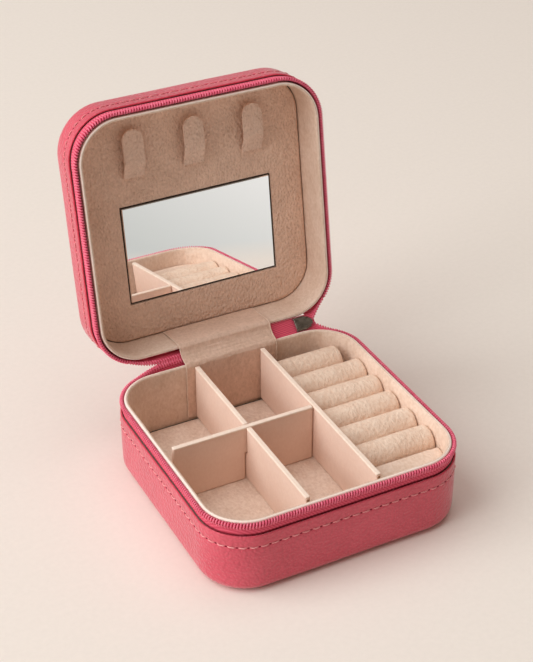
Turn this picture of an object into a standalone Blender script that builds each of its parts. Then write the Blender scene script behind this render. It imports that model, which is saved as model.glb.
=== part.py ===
"""Travel jewelry case, standing open.

Two leather-covered halves with rounded corners are joined at the back by a leather spine and an
inner fabric strip, and a zipper runs round the other sides. The base holds two loose dividers, a
fixed one and a bank of ring rolls. The lid holds a mirror and three necklace tabs.
X runs along the front, Y to the back and Z up; the origin is the middle of the underside.
"""

import math

import bmesh
import bpy
from mathutils import Matrix, Vector

MM = 0.001

# Outer form, in millimetres like every length below
HALF_W = 50.0
HALF_D = 49.25
CORNER_R = 18.0
EDGE_R = 4.0
BASE_H = 30.0
LID_H = 20.5
RIM_GAP = 0.5
CLEAR = 0.3

# Layers of a wall, as insets from its outer face
LEATHER_T = 0.8
BOARD_IN = 1.05
BOARD_T = 1.1
BOARD_FLOOR_T = 1.3
TAPE_IN = 1.15
TAPE_T = 0.4
LINING_IN = 1.86
LINING_LOW_IN = 2.4
LINING_FACE = 3.2
PAD_IN = LINING_FACE + CLEAR

# Heights of a wall, as distances down from its rim
BASE_LEATHER_DROP = 5.2
LID_LEATHER_DROP = 5.8
BOARD_DROP = 6.5
TAPE_TOP_DROP = 2.5
TAPE_FOOT_DROP = 5.9
COIL_DROP = 1.05
COIL_IN = 0.78
COIL_HALF_W = 0.75
COIL_HALF_H = 1.15
LINING_FOOT = 4.6

# Inside of the base
FLOOR_Z = 6.0
DIVIDER_T = 1.8
DIVIDER_TOP = 29.5
DIVIDER_FRONT = -43.7
DIVIDER_BACK = 44.8
LONG_DIVIDER_X = -14.0
RING_DIVIDER_X = 13.7
CROSS_DIVIDER_Y = 2.3
CROSS_DIVIDER_LEFT = -43.6
LAP_Z = 17.9
SLOT_PLAY = 0.35

# Ring rolls
ROLL_COUNT = 6
ROLL_R = 5.95
ROLL_PITCH = 12.1
ROLL_FIRST_Y = 35.5
ROLL_AXIS_Z = 21.0
FIRST_ROLL_END = 42.2
ROLL_END = 45.9
LEDGE_Z = 22.7

# Hinge at the back, and how far the lid stands open
HINGE_Y = 51.2
HINGE_Z = BASE_H + RIM_GAP / 2
OPEN_DEG = 99.0
STRIP_X = (-17.9, 20.3)
STRIP_T = 0.5
SPINE_X = (-18.9, 20.3)

# Zipper ends, with the chain's offset from the hinge axis
COIL_ENDS_X = (-22.0, 40.0)
CHAIN_OFFSET = -1.0
STOP_OFFSET = -1.39
STOP_X = (-15.5, -13.0)
CHAIN_X = (20.7, 30.2)
SLIDER_X = 34.8
SLIDER_HALF_L = 4.3
SLIDER_HALF_W = 2.7
BAIL_OUT = 3.6
PULL_RING_R = 2.3
PULL_WIRE_R = 0.4
PULL_DROP = 1.26
PULL_SIZE = (5.4, 1.1, 12.4)

# Lid furniture, with heights measured from the middle of the lid and depths from its rim
PANEL_DEPTH = 15.0
MIRROR_W = 62.0
MIRROR_H = 39.0
MIRROR_T = 1.5
MIRROR_X = 1.5
MIRROR_V = -11.5
TAB_COUNT = 3
TAB_PITCH = 24.3
TAB_W = 8.4
TAB_T = 1.1
TAB_FOOT_V = 19.3
TAB_TIP_V = 38.3
TAB_LIFT = 2.3

CORNER_STEPS = 6
EDGE_STEPS = 4
HIDDEN_EDGE_STEPS = 2

PINK = (0.80, 0.17, 0.21)
TAPE_PINK = (0.55, 0.07, 0.12)
CREAM = (0.78, 0.62, 0.50)
SUEDE = (0.42, 0.28, 0.20)
BOARD_GREY = (0.45, 0.42, 0.38)
GUNMETAL = (0.16, 0.14, 0.12)
SILVER = (0.90, 0.90, 0.90)


def clear_scene():
    for obj in list(bpy.data.objects):
        bpy.data.objects.remove(obj, do_unlink=True)


def material(name, colour, roughness, metallic=0.0):
    made = bpy.data.materials.new(name)
    made.use_nodes = True
    shader = made.node_tree.nodes["Principled BSDF"]
    shader.inputs["Base Color"].default_value = (*colour, 1.0)
    shader.inputs["Roughness"].default_value = roughness
    shader.inputs["Metallic"].default_value = metallic
    return made


def lid_turn():
    """The turn from the closed lid to the open one, about the hinge axis."""
    return Matrix.Rotation(math.radians(-OPEN_DEG), 4, "X")


def empty(name, place, turn_deg=0.0, parent=None):
    """A marker on a joint's axis. Its place is in closed-case millimetres."""
    marker = bpy.data.objects.new(name, None)
    marker.empty_display_size = 0.005
    bpy.context.collection.objects.link(marker)
    marker.parent = parent
    marker.location = Vector(place) * MM - holder_place(parent)
    marker.rotation_euler.x = math.radians(turn_deg)
    return marker


def finish(name, bm, look, holder=None):
    """Turns a mesh in millimetres into an object, in metres. A holder's place becomes its origin."""
    bmesh.ops.recalc_face_normals(bm, faces=bm.faces)
    origin = holder_place(holder)
    bmesh.ops.translate(bm, verts=bm.verts, vec=-origin / MM)
    bmesh.ops.scale(bm, verts=bm.verts, vec=(MM, MM, MM))
    mesh = bpy.data.meshes.new(name)
    bm.to_mesh(mesh)
    bm.free()
    mesh.materials.append(look)
    obj = bpy.data.objects.new(name, mesh)
    bpy.context.collection.objects.link(obj)
    obj.parent = holder
    return obj


def holder_place(holder):
    """Where a holder is before the turns of its parents, so closed-lid coordinates can be used."""
    place = Vector((0.0, 0.0, 0.0))
    while holder:
        place += holder.location
        holder = holder.parent
    return place


def outline(inset):
    """The case's rounded rectangle at an inset, counter-clockwise from the back-right corner."""
    radius = CORNER_R - inset
    centre_x = HALF_W - CORNER_R
    centre_y = HALF_D - CORNER_R
    points = []
    for sign_x, sign_y, start in ((1, 1, 0), (-1, 1, 90), (-1, -1, 180), (1, -1, 270)):
        for step in range(CORNER_STEPS + 1):
            angle = math.radians(start + 90 * step / CORNER_STEPS)
            x = sign_x * centre_x + radius * math.cos(angle)
            y = sign_y * centre_y + radius * math.sin(angle)
            points.append((x, y))
    return points


def wall_x(y, inset):
    """How far right the case reaches at y, at an inset."""
    past_corner = abs(y) - (HALF_D - CORNER_R)
    radius = CORNER_R - inset
    if past_corner <= 0:
        return HALF_W - inset
    return HALF_W - CORNER_R + math.sqrt(max(radius**2 - past_corner**2, 0.0))


def bridge(bm, first, second, round_trip=True):
    count = len(first)
    for i in range(count if round_trip else count - 1):
        j = (i + 1) % count
        bm.faces.new((first[i], first[j], second[j], second[i]))


def lofted(name, loops, look, closed_profile=False, holder=None, height=lambda z: z):
    """A solid through rounded rectangles, each an (inset, z). A closed profile makes a ring."""
    bm = bmesh.new()
    rows = []
    for inset, z in loops:
        rows.append([bm.verts.new((x, y, height(z))) for x, y in outline(inset)])
    for first, second in zip(rows, rows[1:]):
        bridge(bm, first, second)
    if closed_profile:
        bridge(bm, rows[-1], rows[0])
    else:
        bm.faces.new(rows[0])
        bm.faces.new(rows[-1])
    return finish(name, bm, look, holder)


def swept_round(name, profile, look, holder=None, height=lambda z: z):
    """A profile of (inset, z) points carried round the case, open between the zipper's ends."""
    bm = bmesh.new()
    full = {inset: outline(inset) for inset, _ in profile}
    count = 4 * (CORNER_STEPS + 1)
    left, right = COIL_ENDS_X
    order = [i for i in range(CORNER_STEPS + 1, count)] + [i for i in range(CORNER_STEPS + 1)]
    sections = []
    for index in order:
        sections.append([(full[inset][index], z) for inset, z in profile])
    back_left = [((left, HALF_D - inset), z) for inset, z in profile]
    sections.insert(0, back_left)
    kept = [s for s in sections if not (s[0][0][0] < right and s[0][0][1] > HALF_D / 2 and s[0][0][0] > 0)]
    back_right = [((right, end_y(right, inset)), z) for inset, z in profile]
    kept.append(back_right)
    rows = [[bm.verts.new((p[0], p[1], height(z))) for p, z in section] for section in kept]
    for first, second in zip(rows, rows[1:]):
        bridge(bm, first, second)
    bm.faces.new(rows[0])
    bm.faces.new(rows[-1])
    return finish(name, bm, look, holder)


def end_y(x, inset):
    """The back edge's y at x inside the right corner, at an inset."""
    radius = CORNER_R - inset
    past_corner = x - (HALF_W - CORNER_R)
    return HALF_D - CORNER_R + math.sqrt(radius**2 - past_corner**2)


def cup_loops(inset, floor, rim, thickness, floor_t, edge_r, lip=0.0, steps=EDGE_STEPS):
    """Loops of a cup: up its outside, over the lip and down its inside."""
    angles = [math.radians(90 * i / steps) for i in range(steps + 1)]
    outer = [(inset + edge_r * (1 - math.sin(a)), floor + edge_r * (1 - math.cos(a))) for a in angles]
    inner_r = edge_r - thickness
    inner = [
        (inset + thickness + inner_r * (1 - math.sin(a)), floor + floor_t + inner_r * (1 - math.cos(a)))
        for a in reversed(angles)
    ]
    top = [(inset, rim - lip), (inset + thickness, rim - lip)]
    if lip:
        half = thickness / 2
        top.insert(1, (inset + half * 0.4, rim - lip * 0.3))
        top.insert(2, (inset + half, rim))
        top.insert(3, (inset + thickness - half * 0.4, rim - lip * 0.3))
    return outer + top + inner


def rounded_box_outline(width, height, radius, steps=4):
    points = []
    for sign_x, sign_y, start in ((1, 1, 0), (-1, 1, 90), (-1, -1, 180), (1, -1, 270)):
        for step in range(steps + 1):
            angle = math.radians(start + 90 * step / steps)
            x = sign_x * (width / 2 - radius) + radius * math.cos(angle)
            y = sign_y * (height / 2 - radius) + radius * math.sin(angle)
            points.append((x, y))
    return points


def extruded(name, points, look, place, holder=None):
    """A flat outline carried between two placings: place(u, v, 0) and place(u, v, 1)."""
    bm = bmesh.new()
    first = [bm.verts.new(place(u, v, 0)) for u, v in points]
    second = [bm.verts.new(place(u, v, 1)) for u, v in points]
    bridge(bm, first, second)
    bm.faces.new(first)
    bm.faces.new(second)
    return finish(name, bm, look, holder)


def soften(obj, width, segments=2):
    bevel = obj.modifiers.new("Soft edges", "BEVEL")
    bevel.width = width * MM
    bevel.segments = segments
    bevel.limit_method = "ANGLE"
    bevel.angle_limit = math.radians(40)


def cutter(obj):
    obj.hide_render = True
    obj.display_type = "WIRE"
    return obj


def cut(obj, tool, operation="DIFFERENCE"):
    boolean = obj.modifiers.new(operation.title(), "BOOLEAN")
    boolean.operation = operation
    boolean.object = tool
    boolean.solver = "EXACT"


def in_wall(low, high, axis):
    """Places an outline across a wall that stands between low and high along an axis."""

    def along_x(u, v, side):
        return ((low, high)[side], u, v)

    def along_y(u, v, side):
        return (u, (low, high)[side], v)

    def along_z(u, v, side):
        return (u, v, (low, high)[side])

    return {"X": along_x, "Y": along_y, "Z": along_z}[axis]


def half_shell(prefix, looks, rim, drop, holder, height):
    """The leather cover, board shell and lining wall shared by the base and the lid."""
    cover = cup_loops(0.0, 0.0, rim - drop, LEATHER_T, LEATHER_T, EDGE_R, lip=0.5)
    lofted(f"{prefix}_leather_cover", cover, looks["leather"], holder=holder, height=height)
    board_r = EDGE_R - BOARD_IN
    board = cup_loops(
        BOARD_IN, BOARD_IN, rim - BOARD_DROP, BOARD_T, BOARD_FLOOR_T, board_r, steps=HIDDEN_EDGE_STEPS
    )
    lofted(f"{prefix}_board_shell", board, looks["board"], holder=holder, height=height)
    lip = (LINING_FACE - LINING_IN) / 2
    middle = LINING_IN + lip
    rim_arc = []
    for step in range(5):
        angle = math.radians(180 - 45 * step)
        rim_arc.append((middle + lip * math.cos(angle), rim - lip + lip * math.sin(angle)))
    wall = [
        (LINING_LOW_IN, LINING_FOOT),
        (LINING_LOW_IN, rim - BOARD_DROP),
        (LINING_IN, rim - BOARD_DROP + 0.5),
        *rim_arc,
        (LINING_FACE, LINING_FOOT),
    ]
    lofted(f"{prefix}_lining_wall", wall, looks["cream"], True, holder, height)
    tape = [
        (TAPE_IN, rim - TAPE_FOOT_DROP),
        (TAPE_IN, rim - TAPE_TOP_DROP),
        (TAPE_IN + TAPE_T, rim - TAPE_TOP_DROP),
        (TAPE_IN + TAPE_T, rim - TAPE_FOOT_DROP),
    ]
    swept_round(f"{prefix}_zipper_tape", tape, looks["tape"], holder, height)
    coil = []
    for step in range(8):
        angle = math.radians(45 * step)
        coil.append(
            (COIL_IN + COIL_HALF_W * math.cos(angle), rim - COIL_DROP + COIL_HALF_H * math.sin(angle))
        )
    swept_round(f"{prefix}_zipper_coil", coil, looks["tape"], holder, height)


def lid_height(w):
    """Closed-lid z of a height measured down from the lid's top."""
    return BASE_H + RIM_GAP + LID_H - w


def lid_depth(w):
    """Closed-lid z of a depth into the lid from its rim."""
    return BASE_H + RIM_GAP + w


def floor_pad(looks):
    loops = [(PAD_IN, BOARD_IN + BOARD_FLOOR_T + CLEAR), (PAD_IN, FLOOR_Z)]
    lofted("base_floor_pad", loops, looks["cream"])


def slotted_plate(name, ends, slot, from_top, look, place, holder=None):
    """A divider's side view: rounded top corners and a slot for the divider it crosses."""
    low, top, corner = FLOOR_Z + CLEAR, DIVIDER_TOP, 2.5
    start, end = ends
    points = [(start, low), (end, low), (end, top - corner)]
    points += [
        (end - corner + corner * math.sin(math.radians(a)), top - corner + corner * math.cos(math.radians(a)))
        for a in (60, 30, 0)
    ]
    points += [
        (start + corner - corner * math.sin(math.radians(a)), top - corner + corner * math.cos(math.radians(a)))
        for a in (0, 30, 60, 90)
    ]
    if slot is not None:
        half = DIVIDER_T / 2 + SLOT_PLAY
        if from_top:
            notch = [(slot + half, top), (slot + half, LAP_Z - CLEAR), (slot - half, LAP_Z - CLEAR), (slot - half, top)]
            points[6:6] = notch
        else:
            notch = [(slot - half, low), (slot - half, LAP_Z + CLEAR), (slot + half, LAP_Z + CLEAR), (slot + half, low)]
            points[1:1] = notch
    obj = extruded(name, points, look, place, holder)
    soften(obj, 0.4)
    return obj


def dividers(looks):
    half = DIVIDER_T / 2
    run = (DIVIDER_FRONT, DIVIDER_BACK)
    long_place = in_wall(LONG_DIVIDER_X - half, LONG_DIVIDER_X + half, "X")
    slotted_plate("long_divider", run, CROSS_DIVIDER_Y, True, looks["divider"], long_place)
    cross_place = in_wall(CROSS_DIVIDER_Y - half, CROSS_DIVIDER_Y + half, "Y")
    cross_run = (CROSS_DIVIDER_LEFT, RING_DIVIDER_X - half - CLEAR)
    slotted_plate("cross_divider", cross_run, LONG_DIVIDER_X, False, looks["divider"], cross_place)
    ring_place = in_wall(RING_DIVIDER_X - half, RING_DIVIDER_X + half, "X")
    slotted_plate("ring_divider", run, None, True, looks["divider"], ring_place)


def ring_footprint(front, back):
    """The right-hand section's floor plan between two y values, following the lining's corners."""
    left = RING_DIVIDER_X + DIVIDER_T / 2 + CLEAR
    inside = [(x, y) for x, y in outline(PAD_IN) if x > left and front < y < back]
    inside.sort(key=lambda point: point[1])
    return [(left, front), (wall_x(front, PAD_IN), front), *inside, (wall_x(back, PAD_IN), back), (left, back)]


def ring_section(looks):
    left = RING_DIVIDER_X + DIVIDER_T / 2 + CLEAR
    last_y = ROLL_FIRST_Y - ROLL_PITCH * (ROLL_COUNT - 1)
    ledge_back = last_y - ROLL_R - CLEAR
    bed_top = ROLL_AXIS_Z - ROLL_R - CLEAR
    bed = ring_footprint(ledge_back + CLEAR, DIVIDER_BACK)
    extruded("ring_roll_bed", bed, looks["foam"], in_wall(FLOOR_Z + CLEAR, bed_top, "Z"))
    ledge = ring_footprint(-(HALF_D - PAD_IN) + 0.01, ledge_back)
    front_ledge = extruded("ring_front_ledge", ledge, looks["cream"], in_wall(FLOOR_Z + CLEAR, LEDGE_Z, "Z"))
    soften(front_ledge, 0.6)
    for number in range(ROLL_COUNT):
        y = ROLL_FIRST_Y - ROLL_PITCH * number
        end = ROLL_END if number else FIRST_ROLL_END
        ring_roll(f"ring_roll_{number + 1}", left, end, y, looks["cream"])


def ring_roll(name, start, end, y, look):
    """A stuffed roll along X with rounded ends."""
    sides, rounding = 20, 0.8
    bm = bmesh.new()
    rows = []
    rings = ((start, ROLL_R - rounding), (start + rounding, ROLL_R), (end - rounding, ROLL_R), (end, ROLL_R - rounding))
    for x, radius in rings:
        row = []
        for step in range(sides):
            angle = 2 * math.pi * step / sides
            row.append(bm.verts.new((x, y + radius * math.cos(angle), ROLL_AXIS_Z + radius * math.sin(angle))))
        rows.append(row)
    for first, second in zip(rows, rows[1:]):
        bridge(bm, first, second)
    bm.faces.new(rows[0])
    bm.faces.new(rows[-1])
    obj = finish(name, bm, look)
    obj.data.shade_smooth()
    return obj


def opened(y, z):
    """Where a point (y, z) of the closed lid is once the lid stands open."""
    turned = lid_turn() @ Vector((0.0, y - HINGE_Y, z - HINGE_Z))
    return (HINGE_Y + turned.y, HINGE_Z + turned.z)


def ribbon(name, middle, thickness, ends, look):
    """A band of even thickness along X, following a middle line in the Y-Z plane."""
    upper, lower = [], []
    for i, (y, z) in enumerate(middle):
        before = middle[max(i - 1, 0)]
        after = middle[min(i + 1, len(middle) - 1)]
        along = Vector((after[0] - before[0], after[1] - before[1])).normalized()
        side = Vector((-along.y, along.x)) * thickness / 2
        upper.append((y + side.x, z + side.y))
        lower.append((y - side.x, z - side.y))
    return extruded(name, upper + lower[::-1], look, in_wall(ends[0], ends[1], "X"))


def hinge_strip(looks):
    """Inner fabric: down the base's back wall, over both rims and along the lid's back wall."""
    face = HALF_D - LINING_FACE - CLEAR - STRIP_T / 2
    over_rim = [(face, 24.0), (face, 29.3), (face + 0.25, 30.1), (face + 0.9, 30.75), (face + 1.9, 30.95)]
    lid_side = [(face + 1.9, -0.7), (face + 0.9, -0.5), (face + 0.25, 0.15), (face, 0.95), (face, PANEL_DEPTH - 0.4)]
    middle = [(face, FLOOR_Z + CLEAR)] + over_rim
    middle += [(face + 3.5, 31.8), (face + 4.8, 32.8)]
    middle += [opened(y, HINGE_Z + z) for y, z in lid_side]
    ribbon("hinge_strip", middle, STRIP_T, STRIP_X, looks["cream"])


def hinge_spine(looks):
    """Outer leather band that joins the two covers and folds about the hinge axis."""
    face = HALF_D - LEATHER_T / 2
    base_edge = BASE_H - BASE_LEATHER_DROP
    lid_edge = lid_depth(LID_LEATHER_DROP)
    start = (face, base_edge + CLEAR)
    end = opened(face, lid_edge - CLEAR)
    before_end = opened(face, lid_edge - 2.0)
    middle = [start, (face + 0.15, 27.5), (face + 0.85, 29.3), (face + 2.15, 30.4), (face + 4.0, 31.1)]
    middle += [before_end, end]
    ribbon("hinge_spine", middle, LEATHER_T, SPINE_X, looks["leather"])


def chain_frame(offset, x=0.0):
    """Maps (along, out, across) of the half-turned zipper end to the closed-case frame."""

    def place(along, out, across):
        return (x + along, HINGE_Y + offset + out, HINGE_Z + across)

    return place


def zipper_ends(looks, holder):
    """The closed bit of chain beside the slider, and the stop at the other end."""
    place = chain_frame(CHAIN_OFFSET)
    bump = [(1.1 * math.cos(math.radians(a)), 0.8 * math.sin(math.radians(a))) for a in (20, 55, 90, 125, 160)]
    section = [(3.0, -0.2), (3.0, 0.2), *bump, (-3.0, 0.2), (-3.0, -0.2)]
    section += [(-across, -out) for across, out in bump]

    def along_chain(across, out, side):
        return place(CHAIN_X[side], out, across)

    extruded("zipper_closed_chain", section, looks["tape"], along_chain, holder)
    stop_place = chain_frame(STOP_OFFSET)

    def along_stop(across, out, side):
        return stop_place(STOP_X[side], out, across)

    stop = [(across, out) for across, out in rounded_box_outline(3.2, 0.9, 0.3, 2)]
    extruded("zipper_bottom_stop", stop, looks["metal"], along_stop, holder)


def slider_plate_outline():
    """A shield: square at the closed-chain end, drawn in and rounded at the other."""
    nose = []
    for step in range(-3, 4):
        angle = math.radians(25 * step)
        nose.append((SLIDER_HALF_L - 2.0 + 2.0 * math.cos(angle), 1.6 * math.sin(angle)))
    return [
        (-SLIDER_HALF_L, SLIDER_HALF_W),
        (-SLIDER_HALF_L, -SLIDER_HALF_W),
        (0.9, -SLIDER_HALF_W),
        *nose,
        (0.9, SLIDER_HALF_W),
    ]


def zipper_slider(looks, holder):
    """Two plates joined by a post, with a bail on the outer plate for the pull's ring."""
    place = chain_frame(CHAIN_OFFSET, SLIDER_X)

    def slab(name, points, low, high):
        def between(along, across, side):
            return place(along, (low, high)[side], across)

        return extruded(name, points, looks["metal"], between, holder)

    slider = slab("zipper_slider", slider_plate_outline(), -1.75, -1.05)
    outer = cutter(slab("slider_outer_plate", slider_plate_outline(), 1.05, 1.75))
    post = cutter(slab("slider_post", [(3.2, 0.0), (2.5, 0.7), (1.7, 0.0), (2.5, -0.7)], -1.4, 1.4))
    top = BAIL_OUT + 0.3
    side = [(-2.4, 1.5), (2.4, 1.5), (2.4, top - 0.4), (2.0, top), (-2.0, top), (-2.4, top - 0.4)]
    hole = [(-1.7, 1.75), (-1.7, BAIL_OUT - 0.3), (1.7, BAIL_OUT - 0.3), (1.7, 1.75)]

    def bail_slab(name, points, half):
        def between(along, out, end):
            return place(along, out, (-half, half)[end])

        return cutter(extruded(name, points, looks["metal"], between, holder))

    bail = bail_slab("slider_bail", side, 0.4)
    opening = bail_slab("slider_bail_opening", hole, 1.0)
    cut(bail, opening)
    for piece in (post, outer, bail):
        cut(slider, piece, "UNION")


def zipper_pull(looks, slider_holder):
    """A ring through the bail with a tongue below it, hanging straight down."""
    pivot = Vector((SLIDER_X, HINGE_Y + CHAIN_OFFSET + BAIL_OUT, HINGE_Z))
    holder = empty("pull_axis", pivot, OPEN_DEG / 2, slider_holder)
    centre = pivot - Vector((0.0, 0.0, PULL_DROP))
    sides, wire_sides = 16, 8
    bm = bmesh.new()
    rows = []
    for step in range(sides):
        turn = 2 * math.pi * step / sides
        row = []
        for wire_step in range(wire_sides):
            angle = 2 * math.pi * wire_step / wire_sides
            reach = PULL_RING_R + PULL_WIRE_R * math.cos(angle)
            spot = Vector((PULL_WIRE_R * math.sin(angle), reach * math.cos(turn), reach * math.sin(turn)))
            row.append(bm.verts.new(centre + spot))
        rows.append(row)
    for i in range(sides):
        bridge(bm, rows[i], rows[(i + 1) % sides])
    pull = finish("zipper_pull", bm, looks["metal"], holder)
    width, thickness, length = PULL_SIZE
    middle = centre.z - PULL_RING_R + PULL_WIRE_R - length / 2

    def tongue_place(u, v, side):
        return (SLIDER_X + u, centre.y + thickness * (side - 0.5), middle + v)

    shape = rounded_box_outline(width, length, 1.6)
    tongue = extruded("pull_tongue", shape, looks["metal"], tongue_place, holder)
    cut(pull, cutter(tongue), "UNION")


def lid_panel(looks, holder):
    """The padded back of the lid, with a pocket for the mirror."""
    panel_back = LID_H - (BOARD_IN + BOARD_FLOOR_T + CLEAR)
    loops = [(PAD_IN, PANEL_DEPTH), (PAD_IN, panel_back)]
    panel = lofted("lid_panel", loops, looks["suede"], holder=holder, height=lid_depth)
    play = 2 * CLEAR
    floor = PANEL_DEPTH + MIRROR_T + CLEAR - 0.2

    def rectangle(name, width, height, near, far, look):
        points = [
            (MIRROR_X + u, -MIRROR_V + v)
            for u, v in ((-width / 2, -height / 2), (width / 2, -height / 2), (width / 2, height / 2), (-width / 2, height / 2))
        ]
        return extruded(name, points, look, in_wall(lid_depth(near), lid_depth(far), "Z"), holder)

    pocket = rectangle("mirror_pocket", MIRROR_W + play, MIRROR_H + play, PANEL_DEPTH - 1.0, floor, looks["suede"])
    cut(panel, cutter(pocket))
    front = PANEL_DEPTH - 0.2
    rectangle("mirror", MIRROR_W, MIRROR_H, front, front + MIRROR_T, looks["mirror"])


def necklace_tab(number, looks, lid):
    """A strap sewn down at its foot, standing off the panel, with a snap stud under its round tip."""
    x = MIRROR_X + TAB_PITCH * (number - (TAB_COUNT + 1) / 2)
    foot_face = PANEL_DEPTH - CLEAR
    holder = empty(f"tab_axis_{number}", (x, -TAB_FOOT_V, lid_depth(foot_face)), 0.0, lid)
    half = TAB_W / 2
    centre_v = TAB_TIP_V - half
    rows = [(TAB_FOOT_V, half, 0.0), (TAB_FOOT_V + 1.6, half, 0.15), (TAB_FOOT_V + 4.5, half, TAB_LIFT * 0.75)]
    rows += [(TAB_FOOT_V + 7.0, half, TAB_LIFT)]
    for degrees in (0, 25, 45, 62, 76, 86):
        angle = math.radians(degrees)
        rows.append((centre_v + half * math.sin(angle), half * math.cos(angle), TAB_LIFT))
    bm = bmesh.new()
    sections = []
    for v, half_w, lift in rows:
        near, far = lid_depth(foot_face - lift - TAB_T), lid_depth(foot_face - lift)
        corners = ((x - half_w, near), (x + half_w, near), (x + half_w, far), (x - half_w, far))
        sections.append([bm.verts.new((cx, -v, cz)) for cx, cz in corners])
    for first, second in zip(sections, sections[1:]):
        bridge(bm, first, second)
    bm.faces.new(sections[0])
    bm.faces.new(sections[-1])
    tab = finish(f"necklace_tab_{number}", bm, looks["suede"], holder)
    soften(tab, 0.2, 1)
    snap_stud(number, x, centre_v, looks, lid)


def snap_stud(number, x, v, looks, lid):
    base, head = PANEL_DEPTH - CLEAR, PANEL_DEPTH - TAB_LIFT + 0.1
    sides = 16
    bm = bmesh.new()
    rows = []
    for radius, depth in ((2.0, base), (2.0, base - 0.5), (1.2, base - 0.7), (1.2, head + 0.3), (0.9, head)):
        row = []
        for step in range(sides):
            angle = 2 * math.pi * step / sides
            row.append(bm.verts.new((x + radius * math.cos(angle), -v + radius * math.sin(angle), lid_depth(depth))))
        rows.append(row)
    for first, second in zip(rows, rows[1:]):
        bridge(bm, first, second)
    bm.faces.new(rows[0])
    bm.faces.new(rows[-1])
    stud = finish(f"snap_stud_{number}", bm, looks["metal"], lid)
    stud.data.shade_smooth()


def build():
    clear_scene()
    looks = {
        "leather": material("pink_leather", PINK, 0.45),
        "tape": material("zipper_nylon", TAPE_PINK, 0.6),
        "cream": material("cream_velvet", CREAM, 0.9),
        "divider": material("divider_cloth", CREAM, 0.8),
        "foam": material("foam", CREAM, 0.95),
        "suede": material("panel_suede", SUEDE, 0.9),
        "board": material("board", BOARD_GREY, 0.9),
        "metal": material("gunmetal", GUNMETAL, 0.35, 1.0),
        "mirror": material("mirror_glass", SILVER, 0.02, 1.0),
    }
    half_shell("base", looks, BASE_H, BASE_LEATHER_DROP, None, lambda z: z)
    floor_pad(looks)
    dividers(looks)
    ring_section(looks)
    hinge_strip(looks)
    hinge_spine(looks)

    hinge = (0.0, HINGE_Y, HINGE_Z)
    lid = empty("lid_hinge_axis", hinge, -OPEN_DEG)
    half_shell("lid", looks, LID_H, LID_LEATHER_DROP, lid, lid_height)
    lid_panel(looks, lid)
    for number in range(1, TAB_COUNT + 1):
        necklace_tab(number, looks, lid)

    zipper_end = empty("zipper_end_axis", hinge, -OPEN_DEG / 2)
    zipper_ends(looks, zipper_end)
    zipper_slider(looks, zipper_end)
    zipper_pull(looks, zipper_end)


build()
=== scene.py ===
"""Looks of the open travel jewelry case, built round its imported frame."""

import math
import random
from collections import namedtuple

import bmesh
import bpy
from mathutils import Matrix, Vector, noise


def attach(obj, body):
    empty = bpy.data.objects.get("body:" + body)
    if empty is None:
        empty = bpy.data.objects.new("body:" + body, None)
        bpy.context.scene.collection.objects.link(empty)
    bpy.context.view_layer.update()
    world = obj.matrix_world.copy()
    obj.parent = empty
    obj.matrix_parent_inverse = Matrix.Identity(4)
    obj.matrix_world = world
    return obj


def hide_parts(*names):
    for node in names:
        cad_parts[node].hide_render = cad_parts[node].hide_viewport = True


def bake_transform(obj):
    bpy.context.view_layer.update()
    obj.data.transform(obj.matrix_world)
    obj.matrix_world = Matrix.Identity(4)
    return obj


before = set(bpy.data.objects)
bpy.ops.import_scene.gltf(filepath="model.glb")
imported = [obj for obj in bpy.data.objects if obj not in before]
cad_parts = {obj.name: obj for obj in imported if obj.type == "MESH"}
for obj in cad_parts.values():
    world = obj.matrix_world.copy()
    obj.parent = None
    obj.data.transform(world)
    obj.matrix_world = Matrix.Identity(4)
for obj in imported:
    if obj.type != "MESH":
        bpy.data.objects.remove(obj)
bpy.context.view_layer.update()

MM = 0.001
TAU = 2 * math.pi
THREADS = 3000.0

# The CAD's driving sizes, in millimetres
HALF_W, HALF_D, CORNER_R = 50.0, 49.25, 18.0
BASE_H, LID_H, RIM_GAP = 30.0, 20.5, 0.5
HINGE_Y, HINGE_Z = 51.2, 30.25
OPEN_DEG = 99.0
LID_LOW = BASE_H + RIM_GAP
LID_TOP = LID_LOW + LID_H
FLOOR_Z = 6.0
LINING_FACE = 3.2
PANEL_DEPTH = 15.0
MIRROR_X, MIRROR_V, MIRROR_W, MIRROR_H = 1.5, -11.5, 62.0, 39.0
MIRROR_LEAN_DEG = 1.3
DIVIDER_T, DIVIDER_TOP = 1.8, 29.5
LONG_X, RING_X, CROSS_Y, LAP_Z = -14.0, 13.7, 2.3, 17.9
SLIDER_X, BAIL_OUT = 34.8, 3.6
CHAIN_Y = HINGE_Y - 1.0
STRIP_LOW, STRIP_HIGH = -17.9, 20.3
TAB_W, TAB_TIP, TAB_FOOT, TAB_LIFT, TAB_THICK, TAB_PITCH = 8.4, 38.3, 19.3, 2.3, 1.1, 24.3
ROLL_R, ROLL_Z, ROLL_COUNT, ROLL_PITCH, FIRST_ROLL_Y = 5.95, 21.0, 6, 12.1, 35.5
ROLL_END, SHORT_ROLL_END = 45.9, 42.2
SIDE_PLAY = 0.3
ROLLS_LEFT = RING_X + DIVIDER_T / 2 + SIDE_PLAY

CLOSED = Matrix.Identity(4)


def about_hinge(degrees):
    pivot = Vector((0.0, HINGE_Y, HINGE_Z))
    turn = Matrix.Rotation(math.radians(degrees), 4, "X")
    return Matrix.Translation(pivot) @ turn @ Matrix.Translation(-pivot)


LID_OPEN = about_hinge(-OPEN_DEG)
ZIP_OPEN = about_hinge(-OPEN_DEG / 2)
ZIP_OUT = ZIP_OPEN.to_3x3() @ Vector((0.0, 1.0, 0.0))
ZIP_UP = ZIP_OPEN.to_3x3() @ Vector((0.0, 0.0, 1.0))


def base_z(z):
    return z


def lid_z(h):
    """Closed-case z of a height measured down from the lid's top."""
    return LID_TOP - h


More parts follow.
